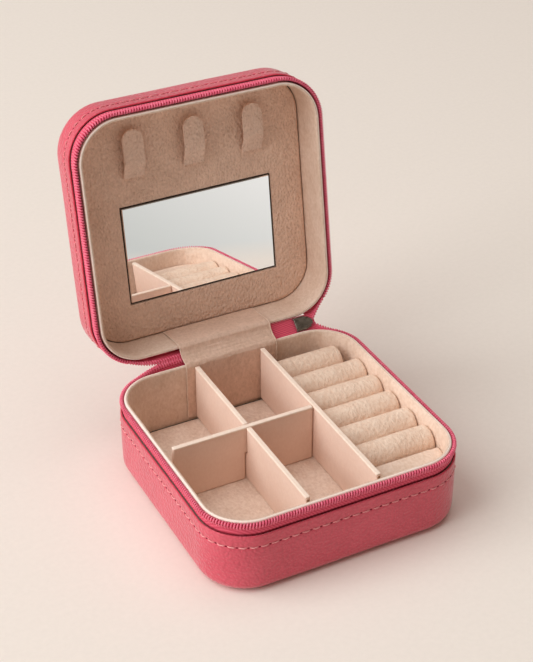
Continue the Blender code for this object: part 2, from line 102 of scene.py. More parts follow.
Half = namedtuple("Half", "name other rim height rest")
BASE = Half("base", "lid", BASE_H, base_z, CLOSED)
LID = Half("lid", "base", LID_H, lid_z, LID_OPEN)


def srgb(r, g, b):
    def linear(c):
        c /= 255
        return c / 12.92 if c <= 0.04045 else ((c + 0.055) / 1.055) ** 2.4

    return (linear(r), linear(g), linear(b), 1.0)


# ---------------------------------------------------------------- materials


class Shader:
    """A Principled material with small helpers for procedural detail."""

    def __init__(self, name, colour, roughness, metallic=0.0, **sockets):
        self.material = bpy.data.materials.new(name)
        self.material.use_nodes = True
        self.tree = self.material.node_tree
        self.bsdf = self.tree.nodes["Principled BSDF"]
        self.bsdf.inputs["Base Color"].default_value = colour
        self.bsdf.inputs["Roughness"].default_value = roughness
        self.bsdf.inputs["Metallic"].default_value = metallic
        for socket, value in sockets.items():
            self.bsdf.inputs[socket.replace("_", " ")].default_value = value
        self.place = self.tree.nodes.new("ShaderNodeTexCoord").outputs["Object"]
        self.normal = None

    def node(self, kind, **values):
        made = self.tree.nodes.new(kind)
        for key, value in values.items():
            if key in made.inputs:
                made.inputs[key].default_value = value
            else:
                setattr(made, key, value)
        return made

    def link(self, source, target):
        self.tree.links.new(source, target)

    def noise(self, scale, detail=3.0, rough=0.55, stretch=None):
        made = self.node("ShaderNodeTexNoise", Scale=scale, Detail=detail, Roughness=rough)
        self.link(self.stretched(stretch), made.inputs["Vector"])
        return made.outputs["Fac"]

    def cells(self, scale, feature="F1", stretch=None):
        made = self.node("ShaderNodeTexVoronoi", Scale=scale, feature=feature)
        self.link(self.stretched(stretch), made.inputs["Vector"])
        return made.outputs["Distance"]

    def wave(self, scale, axis, distortion=0.0):
        made = self.node("ShaderNodeTexWave", Scale=scale, Distortion=distortion, bands_direction=axis)
        self.link(self.place, made.inputs["Vector"])
        return made.outputs["Fac"]

    def stretched(self, stretch):
        if stretch is None:
            return self.place
        mapping = self.node("ShaderNodeMapping", Scale=stretch)
        self.link(self.place, mapping.inputs["Vector"])
        return mapping.outputs["Vector"]

    def ramp(self, source, stops):
        made = self.node("ShaderNodeValToRGB")
        elements = made.color_ramp.elements
        while len(elements) < len(stops):
            elements.new(0.5)
        for element, (position, colour) in zip(elements, stops):
            element.position = position
            element.color = colour
        self.link(source, made.inputs["Fac"])
        return made.outputs["Color"]

    def mix(self, first, second, factor):
        made = self.node("ShaderNodeMix", data_type="RGBA")
        for value, index in ((factor, 0), (first, 6), (second, 7)):
            if isinstance(value, bpy.types.NodeSocket):
                self.link(value, made.inputs[index])
            else:
                made.inputs[index].default_value = value
        return made.outputs[2]

    def colour(self, source):
        self.link(source, self.bsdf.inputs["Base Color"])

    def roughness(self, source, low, high):
        made = self.node("ShaderNodeMapRange")
        made.inputs["To Min"].default_value = low
        made.inputs["To Max"].default_value = high
        self.link(source, made.inputs["Value"])
        self.link(made.outputs["Result"], self.bsdf.inputs["Roughness"])

    def spread(self, source, low, high):
        """A value carried from low..high to 0..1."""
        made = self.node("ShaderNodeMapRange")
        made.inputs["From Min"].default_value = low
        made.inputs["From Max"].default_value = high
        self.link(source, made.inputs["Value"])
        return made.outputs["Result"]

    def bump(self, height, strength, distance_mm):
        made = self.node("ShaderNodeBump", Strength=strength, Distance=distance_mm * MM)
        self.link(height, made.inputs["Height"])
        if self.normal is not None:
            self.link(self.normal, made.inputs["Normal"])
        self.normal = made.outputs["Normal"]
        self.link(self.normal, self.bsdf.inputs["Normal"])


def leather(name, light, dark, crease):
    look = Shader(name, light, 0.5, Specular_IOR_Level=0.55, Sheen_Weight=0.50, Sheen_Roughness=0.40)
    pores = look.cells(1700.0, "F1")
    pebble = look.cells(1000.0, "SMOOTH_F1")
    fine = look.noise(2600.0, 3.0)
    broad = look.noise(60.0, 4.0, 0.6)
    tone = look.ramp(broad, ((0.35, dark), (0.7, light)))
    grain = look.ramp(pebble, ((0.25, light), (0.75, crease)))
    look.colour(look.mix(tone, grain, 0.22))
    look.roughness(fine, 0.42, 0.62)
    look.bump(pebble, 0.85, 0.36)
    look.bump(pores, 0.35, 0.12)
    look.bump(fine, 0.25, 0.08)
    return look.material


def velvet(name, light, dark, pile=1.0, sheen=0.35, tuft=1.0):
    look = Shader(name, light, 0.92, Specular_IOR_Level=0.15, Sheen_Weight=sheen, Sheen_Roughness=0.45)
    look.bsdf.inputs["Sheen Tint"].default_value = light
    tufts = look.noise(1000.0 / tuft, 4.0, 0.6, stretch=(1.0, 0.7, 0.6))
    fine = look.noise(3000.0, 3.0)
    broad = look.noise(120.0, 3.0)
    tone = look.ramp(tufts, ((0.32, dark), (0.66, light)))
    drift = look.ramp(broad, ((0.35, dark), (0.65, light)))
    look.colour(look.mix(tone, drift, 0.35))
    look.bump(tufts, min(1.0, 0.45 * pile), 0.24 + 0.22 * pile)
    look.bump(fine, min(1.0, 0.35 * pile), 0.12)
    return look.material


def suede(name, light, dark):
    look = Shader(name, light, 0.95, Specular_IOR_Level=0.12, Sheen_Weight=0.25, Sheen_Roughness=0.5)
    look.bsdf.inputs["Sheen Tint"].default_value = light
    nap = look.noise(1250.0, 4.0, 0.6, stretch=(1.0, 0.7, 0.7))
    worm = look.cells(1150.0, "SMOOTH_F1", stretch=(1.0, 0.75, 0.75))
    broad = look.noise(90.0, 3.0)
    tone = look.ramp(nap, ((0.34, dark), (0.64, light)))
    drift = look.ramp(broad, ((0.1, dark), (0.6, light)))
    look.colour(look.mix(tone, drift, 0.5))
    look.bump(worm, 1.0, 0.60)
    look.bump(nap, 0.80, 0.45)
    return look.material


def woven(name, light, dark):
    look = Shader(name, light, 0.8, Specular_IOR_Level=0.25, Sheen_Weight=0.15)
    look.bsdf.inputs["Sheen Tint"].default_value = light
    warp = look.wave(THREADS / TAU, "DIAGONAL", 0.6)
    weft = look.wave(THREADS / TAU * 1.6, "Z", 0.4)
    weave = look.mix(warp, weft, 0.5)
    tone = look.ramp(weave, ((0.2, dark), (0.8, light)))
    look.colour(look.mix(tone, light, 0.25))
    look.bump(weave, 0.25, 0.08)
    return look.material


def thread(name, light, dark):
    look = Shader(name, light, 0.6, Specular_IOR_Level=0.4, Sheen_Weight=0.2)
    twist = look.wave(700.0, "DIAGONAL", 1.0)
    look.colour(look.ramp(twist, ((0.1, dark), (0.8, light))))
    look.bump(twist, 0.5, 0.08)
    return look.material


def nylon(name, light, dark):
    look = Shader(name, light, 0.38, Specular_IOR_Level=0.5)
    drift = look.noise(400.0, 3.0)
    look.colour(look.ramp(drift, ((0.3, dark), (0.7, light))))
    look.roughness(drift, 0.3, 0.48)
    look.bump(look.noise(2500.0), 0.1, 0.03)
    return look.material


def metal(name, light, dark, roughness):
    look = Shader(name, light, roughness, metallic=1.0)
    brushed = look.noise(500.0, 4.0, 0.6, stretch=(0.15, 1.0, 1.0))
    spots = look.noise(300.0, 5.0, 0.7)
    look.colour(look.ramp(spots, ((0.3, dark), (0.7, light))))
    look.roughness(brushed, roughness - 0.08, roughness + 0.14)
    look.bump(brushed, 0.15, 0.04)
    return look.material


def board(name, light, dark):
    look = Shader(name, light, 0.95, Specular_IOR_Level=0.1)
    fibre = look.noise(1200.0, 5.0, 0.7)
    look.colour(look.ramp(fibre, ((0.3, dark), (0.7, light))))
    look.bump(fibre, 0.4, 0.1)
    return look.material


def mirror_glass(name):
    look = Shader(name, (0.985, 0.99, 0.985, 1.0), 0.02, metallic=1.0)
    haze = look.noise(35.0, 2.0)
    look.roughness(haze, 0.008, 0.03)
    return look.material


PINK = leather("pink_leather", srgb(224, 84, 104), srgb(212, 72, 92), srgb(172, 42, 64))
PINK_EDGE = leather("pink_leather_edge", srgb(214, 90, 106), srgb(198, 70, 88), srgb(166, 46, 64))
CREAM = velvet("cream_velvet", srgb(244, 220, 203), srgb(222, 192, 170), pile=1.5)
# Lighter velvet for the rim piping: a painted highlight along the rounded rim.
RIM_HIGHLIGHT = velvet("rim_velvet", srgb(255, 243, 232), srgb(246, 228, 214), pile=0.4)
ROLL = velvet("roll_velvet", srgb(252, 228, 208), srgb(236, 202, 178), pile=2.2, sheen=0.35, tuft=1.25)
CLOTH = velvet("divider_cloth", srgb(243, 214, 197), srgb(236, 204, 186), pile=0.3, sheen=0.25)
CAP = velvet("divider_edge_cloth", srgb(253, 234, 218), srgb(244, 218, 200), pile=0.4, sheen=0.2)
FLOOR_CLOTH = velvet("floor_velvet", srgb(250, 228, 212), srgb(222, 192, 172), pile=1.4)
STRIP = velvet("strip_cloth", srgb(240, 208, 189), srgb(214, 180, 158), pile=1.5, sheen=0.25)
SUEDE = suede("panel_suede", srgb(252, 218, 197), srgb(216, 181, 160))
TAB_SUEDE = suede("tab_suede", srgb(248, 217, 198), srgb(226, 194, 175))
TAPE = woven("zipper_tape", srgb(240, 104, 128), srgb(184, 40, 68))
COIL = nylon("coil_nylon", srgb(244, 122, 148), srgb(232, 96, 126))
TOOTH_THREAD = thread("coil_thread", srgb(246, 124, 150), srgb(230, 88, 118))
STITCH = thread("stitch_thread", srgb(250, 178, 178), srgb(226, 120, 128))
# The dark red dots at the needle holes are painted shade, standing in for the holes' depth.
HOLE_SHADE = board("needle_hole", srgb(140, 30, 50), srgb(110, 20, 38))
CORE = board("board_core", srgb(186, 150, 122), srgb(160, 124, 98))
DEEP = board("coil_shadow", srgb(206, 58, 88), srgb(176, 36, 66))
BOARD = board("grey_board", srgb(170, 164, 154), srgb(140, 134, 126))
GUNMETAL = metal("gunmetal", srgb(172, 164, 154), srgb(104, 98, 90), 0.24)
BRASS = metal("snap_brass", srgb(214, 186, 130), srgb(180, 150, 96), 0.28)
MIRROR = mirror_glass("mirror_silver")
# Dark backing round the mirror: real backing paint and painted shade in the gap between glass and pocket.
MIRROR_BACK_AND_GAP_SHADE = board("mirror_edge", srgb(92, 78, 68), srgb(48, 42, 38))


# ---------------------------------------------------------------- mesh tools


def build(name, verts, faces, look, body, slot, matrix=CLOSED, smooth=True):
    """A piece from points in closed-case millimetres, carried by matrix to the rest pose."""
    bm = bmesh.new()
    made = [bm.verts.new(matrix @ Vector(v)) for v in verts]
    for face in faces:
        bm.faces.new([made[i] for i in face])
    bmesh.ops.recalc_face_normals(bm, faces=bm.faces)
    bmesh.ops.scale(bm, vec=(MM, MM, MM), verts=bm.verts)
    mesh = bpy.data.meshes.new(name)
    bm.to_mesh(mesh)
    bm.free()
    mesh.materials.append(look)
    if smooth:
        mesh.shade_smooth()
        mesh.set_sharp_from_angle(angle=math.radians(50))
    piece = bpy.data.objects.new(name, mesh)
    bpy.context.scene.collection.objects.link(piece)
    if body:
        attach(piece, body)
    return piece


def bridge(low, up, count):
    """Quads between two rings of count points, which begin at low and at up."""
    quads = []
    for k in range(count):
        m = (k + 1) % count
        quads.append((low + k, low + m, up + m, up + k))
    return quads


def skin(rows, count, closed=False):
    """Quads between each ring of points and the next."""
    faces = []
    for r in range(rows if closed else rows - 1):
        faces += bridge(r * count, (r + 1) % rows * count, count)
    return faces


def end_caps(rows, count):
    """The faces that close the first and the last ring."""
    return [tuple(range(count)), tuple(range((rows - 1) * count, rows * count))]


def apply_modifiers(piece):
    evaluated = piece.evaluated_get(bpy.context.evaluated_depsgraph_get())
    mesh = bpy.data.meshes.new_from_object(evaluated)
    piece.modifiers.clear()
    piece.data = mesh


def bevelled(piece, width_mm, segments, angle):
    modifier = piece.modifiers.new("Soft edges", "BEVEL")
    modifier.width = width_mm * MM
    modifier.segments = segments
    modifier.limit_method = "ANGLE"
    modifier.angle_limit = math.radians(angle)


def inflate(piece, voxel_mm, most_mm):
    """Lets a stuffed piece swell as a cloth bag under pressure, by no more than most_mm anywhere."""
    look = piece.data.materials[0]
    remesh = piece.modifiers.new("Even faces", "REMESH")
    remesh.mode = "VOXEL"
    remesh.voxel_size = voxel_mm * MM
    apply_modifiers(piece)
    before = [v.co.copy() for v in piece.data.vertices]
    cloth = piece.modifiers.new("Cloth", "CLOTH")
    cloth.settings.quality = 4
    cloth.settings.mass = 0.002
    cloth.settings.use_pressure = True
    cloth.settings.uniform_pressure_force = 4.0
    cloth.settings.effector_weights.gravity = 0.0
    cloth.collision_settings.use_collision = False
    cloth.point_cache.frame_start, cloth.point_cache.frame_end = 1, 20
    for frame_number in range(1, 21):
        bpy.context.scene.frame_set(frame_number)
    apply_modifiers(piece)
    bpy.context.scene.frame_set(1)
    most = most_mm * MM
    for vertex, start in zip(piece.data.vertices, before):
        moved = vertex.co - start
        if moved.length > most:
            vertex.co = start + moved.normalized() * most
    finer = piece.modifiers.new("Finer", "SUBSURF")
    finer.levels = finer.render_levels = 1
    apply_modifiers(piece)
    piece.data.materials.clear()
    piece.data.materials.append(look)
    piece.data.shade_smooth()


STRAIGHT_W = HALF_W - CORNER_R
STRAIGHT_D = HALF_D - CORNER_R
QUARTER = CORNER_R * math.pi / 2
LEGS = (
    ("line", STRAIGHT_W, (0.0, 1.0), (-1.0, 0.0), (0.0, STRAIGHT_D)),
    ("turn", QUARTER, 90, (-STRAIGHT_W, STRAIGHT_D)),
    ("line", 2 * STRAIGHT_D, (-1.0, 0.0), (0.0, -1.0), (-STRAIGHT_W, STRAIGHT_D)),
    ("turn", QUARTER, 180, (-STRAIGHT_W, -STRAIGHT_D)),
    ("line", 2 * STRAIGHT_W, (0.0, -1.0), (1.0, 0.0), (-STRAIGHT_W, -STRAIGHT_D)),
    ("turn", QUARTER, 270, (STRAIGHT_W, -STRAIGHT_D)),
    ("line", 2 * STRAIGHT_D, (1.0, 0.0), (0.0, 1.0), (STRAIGHT_W, -STRAIGHT_D)),
    ("turn", QUARTER, 0, (STRAIGHT_W, STRAIGHT_D)),
    ("line", STRAIGHT_W, (0.0, 1.0), (-1.0, 0.0), (STRAIGHT_W, STRAIGHT_D)),
)
ROUND = sum(leg[1] for leg in LEGS)


def wall_point(s, inset):
    """The point and outward normal at s mm along the case's outline, from the middle of the back."""
    s %= ROUND
    for leg in LEGS:
        if s <= leg[1]:
            break
        s -= leg[1]
    if leg[0] == "line":
        normal, along, start = leg[2:]
        reach = CORNER_R - inset
        x = start[0] + along[0] * s + normal[0] * reach
        y = start[1] + along[1] * s + normal[1] * reach
        return x, y, normal[0], normal[1]
    angle = math.radians(leg[2] + 90 * s / leg[1])
    reach = CORNER_R - inset
    nx, ny = math.cos(angle), math.sin(angle)
    return leg[3][0] + nx * reach, leg[3][1] + ny * reach, nx, ny


def stations(spacing=2.0):
    """Distances along the outline: even on the straights and closer together in the corners."""
    found, start = [], 0.0
    for leg in LEGS:
        count = max(2, round(leg[1] / (spacing if leg[0] == "line" else spacing * 0.75)))
        found += [start + leg[1] * i / count for i in range(count)]
        start += leg[1]
    return found


def loft(profile, closed=False, rough=0.0, rough_size=20.0, seed=0.0, caps=(True, True)):
    """A wall whose section is a list of (inset, z), carried round the outline."""
    verts = []
    for inset, z in profile:
        for s in MARKS:
            x, y, nx, ny = wall_point(s, inset)
            push = rough * noise.noise(Vector((x + seed, y, z)) / rough_size)
            verts.append((x + nx * push, y + ny * push, z))
    count, rows = len(MARKS), len(profile)
    faces = skin(rows, count, closed)
    for row, wanted in ((0, caps[0]), (rows - 1, caps[1])):
        if wanted and not closed:
            fill_inward(verts, faces, row * count, count)
    return verts, faces


def even_shares(steps):
    return [1 - step / steps for step in range(1, steps)]


def fill_inward(verts, faces, start, count, shares=even_shares(7), nudge=None):
    """Closes a loop of points with rings that shrink to its middle, each point moved by nudge."""
    nudge = nudge or (lambda spot, share: Vector())
    loop = [Vector(verts[start + i]) for i in range(count)]
    middle = sum(loop, Vector()) / count
    for share in shares:
        first = len(verts)
        for point in loop:
            spot = middle + (point - middle) * share
            verts.append(tuple(spot + nudge(spot, share)))
        faces += bridge(start, first, count)
        start = first
    verts.append(tuple(middle + nudge(middle, 0.0)))
    faces += [(start + i, start + (i + 1) % count, len(verts) - 1) for i in range(count)]


def uneven(height, size, layer, crown=0.0):
    """Nudges a filled top up and down a little, with a crown toward its middle."""

    def nudge(spot, share):
        lump = noise.noise(Vector((spot.x, spot.y, layer)) / size)
        return Vector((0.0, 0.0, crown * (1 - share**2) + height * lump))

    return nudge


def tube(path, radius, sides=6, squash=1.0, close=False):
    """Points and faces of a round bar along a path of Vectors."""
    verts, side = [], None
    total = len(path)
    for i, spot in enumerate(path):
        after = path[(i + 1) % total] if close or i < total - 1 else spot
        before = path[i - 1] if close or i > 0 else spot
        along = (after - before).normalized()
        if side is None:
            side = along.orthogonal().normalized()
        side = (side - along * side.dot(along)).normalized()
        other = along.cross(side)
        for k in range(sides):
            a = TAU * k / sides
            verts.append(tuple(spot + side * math.cos(a) * radius + other * math.sin(a) * radius * squash))
    faces = skin(total, sides, close)
    if not close:
        faces += end_caps(total, sides)
    return verts, faces


def ellipsoid(centre, pole, side, other, rings, sides=8):
    """A small closed form given by its three half axes."""
    verts = [tuple(centre + pole)]
    for r in range(1, rings):
        a = math.pi * r / rings
        for k in range(sides):
            b = TAU * k / sides
            flat = (side * math.cos(b) + other * math.sin(b)) * math.sin(a)
            verts.append(tuple(centre + pole * math.cos(a) + flat))
    verts.append(tuple(centre - pole))
    faces = []
    for r in range(rings - 2):
        faces += bridge(1 + r * sides, 1 + (r + 1) * sides, sides)
    last = 1 + (rings - 2) * sides
    for k in range(sides):
        m = (k + 1) % sides
        faces += [(0, 1 + k, 1 + m), (last + k, last + m, len(verts) - 1)]
    return verts, faces


def prism(points, place, low, high):
    """Points and faces of an outline (u, v) carried from low to high by place(u, v, level)."""
    verts = [tuple(place(u, v, level)) for level in (low, high) for u, v in points]
    return verts, skin(2, len(points)) + end_caps(2, len(points))


def joined(parts):
    verts, faces = [], []
    for more_verts, more_faces in parts:
        shift = len(verts)
        verts += more_verts
        faces += [tuple(i + shift for i in face) for face in more_faces]
    return verts, faces


def flipped(profile, height):
    return [(inset, height(z)) for inset, z in profile]


# ---------------------------------------------------------------- covers, linings and zipper


MARKS = stations(2.0)
HOLE_R, HOLE_FLATNESS = 0.42, 0.42


def cover_profile(edge, stitch):
    """Leather from the flat face, round the edge, up the side, over the turned edge and back inside."""
    outer = [(4.3, 0.0)]
    for step in range(1, 9):
        a = math.radians(90 * step / 8)
        outer.append((4.1 * (1 - math.sin(a)) + 0.04, 4.1 * (1 - math.cos(a))))
    span = edge - 4.1
    side_rows = [4.1 + span * i / 9 for i in range(1, 9)]
    near_stitch = [stitch + d for d in (-1.2, -0.7, -0.4, -0.2, 0.0, 0.2, 0.4, 0.7, 1.2)]
    for z in sorted(set(side_rows + near_stitch)):
        if z > edge - 0.9:
            continue
        bulge = 0.10 * math.sin(math.pi * (z - 4.1) / span)
        dent = 0.26 * math.exp(-(((z - stitch) / 0.42) ** 2))
        outer.append((0.04 - bulge + dent, z))
    lip = [(0.02, edge - 0.75), (0.03, edge - 0.4), (0.14, edge - 0.12), (0.38, edge)]
    inner = [(0.62, edge - 0.1), (0.78, edge - 0.4), (0.8, edge - 1.2), (0.8, 4.1)]
    for step in range(1, 5):
        a = math.radians(90 - 90 * step / 4)
        inner.append((0.8 + 3.3 * (1 - math.sin(a)), 0.8 + 3.3 * (1 - math.cos(a))))
    return outer + lip + inner


def covers():
    for half, drop, stitch_drop, seed in ((BASE, 5.2, 10.0, 0.0), (LID, 6.1, 10.2, 3.0)):
        profile = flipped(cover_profile(half.rim - drop, half.rim - stitch_drop), half.height)
        verts, faces = loft(profile, rough=0.10, rough_size=22.0, seed=seed)
        piece = build(f"{half.name}_leather", verts, faces, PINK, half.name, "pink_leather", half.rest)
        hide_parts(f"{half.name}_leather_cover")
        stitches(half, half.height(half.rim - stitch_drop))


def stitches(half, z):
    """Lockstitch threads a few millimetres long, each end going down a needle hole."""
    pitch_count = round(ROUND / 3.9)
    pitch = ROUND / pitch_count
    threads, holes = [], []
    random.seed(11)
    for n in range(pitch_count):
        drift = random.uniform(-0.08, 0.08)
        path = []
        for i in range(9):
            t = i / 8
            sink = 0.34 - 0.48 * math.sin(math.pi * t) ** 0.6
            x, y, nx, ny = wall_point(n * pitch + (0.16 + 0.68 * t) * pitch, sink + 0.03)
            path.append(Vector((x, y, z + drift * (t - 0.5))))
        threads.append(tube(path, 0.23, 6, 0.8))
        # A flat dark dot at each needle hole: painted shade for the hole.
        x, y, nx, ny = wall_point(n * pitch, 0.20)
        normal = Vector((nx, ny, 0.0))
        across = normal.orthogonal().normalized() * HOLE_R
        other = normal.cross(across)
        flat = normal * HOLE_R * HOLE_FLATNESS
        holes.append(ellipsoid(Vector((x, y, z)), flat, across, other, 4))
    build(f"{half.name}_stitching", *joined(threads), STITCH, half.name, "pink_leather", half.rest)
    build(f"{half.name}_needle_holes", *joined(holes), HOLE_SHADE, half.name, "pink_leather", half.rest)


def lining(half, outer, lip, bead):
    """Velvet over board: the inner wall and the rounded rim that the zipper stands behind."""
    rim, middle = half.rim, outer + lip
    profile = [(outer + 0.55, 4.6), (outer + 0.45, rim - 6.0), (outer + 0.1, rim - 4.0), (outer, rim - 2.0)]
    for step in range(9):
        a = math.radians(180 - 22.5 * step)
        profile.append((middle - lip * math.cos(math.pi - a), rim - lip + lip * math.sin(a)))
    profile += [(3.26, rim - 1.6), (3.26, rim - 3.0), (3.2, rim - 8.0), (3.2, 9.0), (3.2, 4.6)]
    verts, faces = loft(flipped(profile, half.height), closed=True, rough=0.07, rough_size=9.0)
    piece = build(f"{half.name}_lining", verts, faces, CREAM, half.name, "cream_velvet", half.rest)
    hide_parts(f"{half.name}_lining_wall")
    path = []
    for mark in stations(1.5):
        x, y, nx, ny = wall_point(mark, middle - 0.18)
        rise = 0.02 + 0.03 * noise.noise(Vector((x, y, 0.0)) / 6.0)
        path.append(Vector((x, y, half.height(rim - bead + rise))))
    # The piping's lighter velvet paints a highlight line along the rim's top.
    pipe = tube(path, bead, 10, close=True)
    build(f"{half.name}_rim_piping", *pipe, RIM_HIGHLIGHT, half.name, "cream_velvet", half.rest)


COIL_PITCH, COIL_OUT, COIL_UP, PER_TURN = 1.05, 0.50, 0.88, 10
COIL_INSET, COIL_DROP = 0.78, 1.05
RIGHT_END = ROUND - 47.5
LEFT_END = 39.0
END_RUNS = {"right": (RIGHT_END, RIGHT_END + 11.0, 38.6), "left": (LEFT_END, LEFT_END - 22.5, -16.2)}


def rim_spot(half, s, inset, drop):
    """A point below a rim and the outline's normal there, in the closed case."""
    x, y, nx, ny = wall_point(s, inset)
    return Vector((x, y, half.height(half.rim - drop))), Vector((nx, ny, 0.0))


def coil_path(points):
    """A flattened helix round a centre line given as (point, outward normal, up) along its length."""
    length = [0.0]
    for before, after in zip(points, points[1:]):
        length.append(length[-1] + (after[0] - before[0]).length)
    steps = int(length[-1] / COIL_PITCH * PER_TURN)
    path, index = [], 0
    for n in range(steps + 1):
        wanted = length[-1] * n / steps
        while index < len(length) - 2 and length[index + 1] < wanted:
            index += 1
        share = (wanted - length[index]) / max(length[index + 1] - length[index], 1e-9)
        centre, out, up = (a.lerp(b, share) for a, b in zip(points[index], points[index + 1]))
        a = TAU * wanted / COIL_PITCH
        across = out.normalized() * COIL_OUT * math.cos(a)
        path.append(centre + across + up.normalized() * COIL_UP * math.sin(a))
    return path


def coil_line(half):
    count = int((RIGHT_END - LEFT_END) / 0.8)
    points = []
    for i in range(count + 1):
        spot, normal = rim_spot(half, LEFT_END + (RIGHT_END - LEFT_END) * i / count, COIL_INSET, COIL_DROP)
        points.append((spot, normal, Vector((0.0, 0.0, 1.0))))
    return points


def tooth_row(name, half, line, drop, half_long, radius, out):
    """The loops of coil and thread that show as a row of small ribs along one edge of the coil."""
    parts, run, wanted = [], 0.0, 0.0
    for before, after in zip(line, line[1:]):
        step = (after[0] - before[0]).length
        normal = before[1]
        while wanted <= run + step:
            spot = before[0].lerp(after[0], (wanted - run) / step)
            spot.z = half.height(half.rim - drop)
            along = Vector((-normal.y, normal.x, 0.0)) * radius
            pole = Vector((0.0, 0.0, half_long))
            parts.append(ellipsoid(spot + normal * out, pole, normal * radius * 0.8, along, 5))
            wanted += COIL_PITCH
        run += step
    build(name, *joined(parts), TOOTH_THREAD, half.name, "zipper_coil", half.rest)


def zipper_sides():
    for half, drop in ((BASE, 5.2), (LID, 6.3)):
        name, rim, edge = half.name, half.rim, half.rim - drop
        line = coil_line(half)
        coil = build(f"{name}_coil", *tube(coil_path(line), 0.33), COIL, name, "zipper_coil", half.rest)
        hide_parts(f"{name}_zipper_coil")
        core = tube([p[0] for p in line[::2]], 0.50)
        build(f"{name}_coil_core", *core, DEEP, name, "zipper_coil", half.rest)
        tooth_row(f"{name}_coil_sewing", half, line, 2.10, 0.52, 0.43, 0.08)
        if half is LID:
            tooth_row("lid_coil_second_row", half, line, 3.7, 0.85, 0.44, -0.05)
        profile = [
            (1.75, edge - 2.2), (1.70, edge - 0.2), (1.12, edge + 0.30), (0.86, edge + 0.75),
            (0.82, edge + 1.6), (0.88, rim - 3.0), (0.96, rim - 2.2), (1.02, rim - 1.9),
            (1.36, rim - 1.9), (1.36, rim - 3.0), (1.42, edge + 0.8), (1.74, edge + 0.2),
            (2.1, edge - 0.4), (2.1, edge - 2.2),
        ]
        verts, faces = swept(flipped(profile, half.height), 21.5, ROUND - 21.8)
        tape = build(f"{name}_tape", verts, faces, TAPE, name, "zipper_fabric", half.rest)
        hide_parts(f"{name}_zipper_tape")


def swept(profile, start, end):
    """A closed section of (inset, z) carried along part of the outline, with both ends closed."""
    count = int((end - start) / 1.6)
    verts = []
    for i in range(count + 1):
        for inset, z in profile:
            verts.append((*wall_point(start + (end - start) * i / count, inset)[:2], z))
    return verts, skin(count + 1, len(profile)) + end_caps(count + 1, len(profile))


# ---------------------------------------------------------------- inside of the base


def floor_pad():
    profile = [(3.5, 2.7), (3.45, 5.3), (3.6, 5.75), (3.95, 5.98), (4.6, 6.02)]
    verts, faces = loft(profile, caps=(True, False))
    top = (len(profile) - 1) * len(MARKS)
    fill_inward(verts, faces, top, len(MARKS), even_shares(16), uneven(0.05, 7.0, 4.0))
    piece = build("base_floor", verts, faces, FLOOR_CLOTH, None, "cream_velvet")
    inflate(piece, 1.7, 0.22)
    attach(piece, "base")
    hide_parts("base_floor_pad")


def plate_outline(start, end, slot, from_top):
    """The side view of a divider: round top corners and the slot for the one that it crosses."""
    low, top, corner = FLOOR_Z + 0.3, DIVIDER_TOP, 0.9
    points = [(start, low)]
    if slot is not None:
        left, right = (slot + side * (DIVIDER_T / 2 + 0.35) for side in (-1, 1))
        low_end, top_end = LAP_Z + 0.3, LAP_Z - 0.3
        if not from_top:
            points += [(left, low), (left, low_end), (right, low_end), (right, low)]
    points.append((end, low))
    for first, middle in ((0, end - corner), (90, start + corner)):
        for i in range(7):
            a = math.radians(first + 15 * i)
            points.append((middle + corner * math.cos(a), top - corner + corner * math.sin(a)))
        if slot is not None and from_top and first == 0:
            points += [(right, top), (right, top_end), (left, top_end), (left, top)]
    return points


def plate(name, points, centre, thickness, along_y, look, body, slot, node=None, soft=0.62):
    """A flat outline given thickness, standing along Y or along X."""

    def place(u, z, level):
        return (centre + level, u, z) if along_y else (u, centre + level, z)

    piece = build(name, *prism(points, place, -thickness / 2, thickness / 2), look, body, slot)
    bevelled(piece, soft, 4, 35)
    if node:
        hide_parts(node)


def dividers():
    front, back = -43.7, 44.8
    plate("divider_long", plate_outline(front, back, CROSS_Y, True), LONG_X, DIVIDER_T, True, CLOTH,
          "long_divider", "divider_cloth", "long_divider")
    left, right = -43.6, RING_X - DIVIDER_T / 2 - SIDE_PLAY
    plate("divider_cross", plate_outline(left, right, LONG_X, False), CROSS_Y, DIVIDER_T, False, CLOTH,
          "cross_divider", "divider_cloth", "cross_divider")
    plate("divider_ring", plate_outline(front, back, None, True), RING_X, DIVIDER_T, True, CLOTH,
          "base", "divider_cloth", "ring_divider")
    half = DIVIDER_T / 2 + 0.36
    for name, centre, start, end, along_y, body in (
        ("long_cap_front", LONG_X, front + 0.1, CROSS_Y - half, True, "long_divider"),
        ("long_cap_back", LONG_X, CROSS_Y + half, back - 0.1, True, "long_divider"),
        ("cross_cap", CROSS_Y, left + 0.1, right - 0.1, False, "cross_divider"),
        ("ring_cap", RING_X, front + 0.1, back - 0.1, True, "base"),
    ):
        cap = [(start, 28.75), (end, 28.75), (end, 29.56), (start, 29.56)]
        plate(name, cap, centre, DIVIDER_T + 0.12, along_y, CAP, body, "divider_cloth", soft=0.34)
    ends = (("divider_long_core", LONG_X, "long_divider"), ("divider_ring_core", RING_X, "base"))
    for name, x, body in ends:
        core = [(front - 0.08, 24.5), (front + 0.8, 24.5), (front + 0.8, 28.6), (front - 0.08, 28.6)]
        plate(name, core, x, 1.15, True, CORE, body, "board", soft=0.1)


